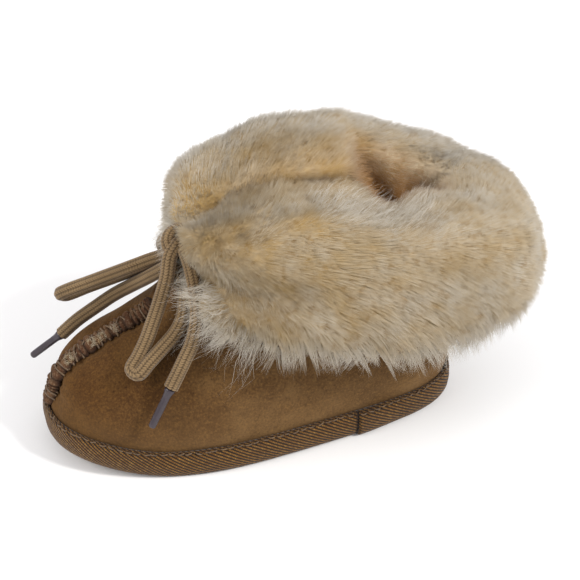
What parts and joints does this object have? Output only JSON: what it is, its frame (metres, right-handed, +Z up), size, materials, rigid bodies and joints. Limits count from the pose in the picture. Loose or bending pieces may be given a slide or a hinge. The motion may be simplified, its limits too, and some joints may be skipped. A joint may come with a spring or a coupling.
{
  "type": "moccasin bootie",
  "caption": "Soft baby's moccasin bootie in suede sheepskin with a raised vamp seam, a bound flat sole, a deep wool cuff and a lace tied in a bow.",
  "frame": {"origin": "on the floor under the middle of the sole", "axes": "+X to the toe, +Y to the wearer's left, +Z up"},
  "size_m": [0.1596, 0.0878, 0.087],
  "materials": {
    "suede": "brushed suede nap",
    "sole_suede": "brushed suede nap",
    "woven_tape": "twill woven cotton",
    "seam_skin": "cut skin edges whipped with thread",
    "wool": "combed sheep's wool",
    "braid": "round braided cord",
    "aglet_plastic": "smooth"
  },
  "bodies": {
    "root": {"outsole": "sole_suede", "insole": "wool", "binding_tape": "woven_tape", "upper": "suede", "toe_seam": "seam_skin", "fur_cuff": "wool", "lace_knot": "braid", "lace_bar_left": "braid", "lace_bar_right": "braid", "lace_loop_left": "braid", "lace_loop_right": "braid", "lace_end_left": "braid", "lace_end_right": "braid", "aglet_left": "aglet_plastic", "aglet_right": "aglet_plastic"}
  },
  "joints": []
}
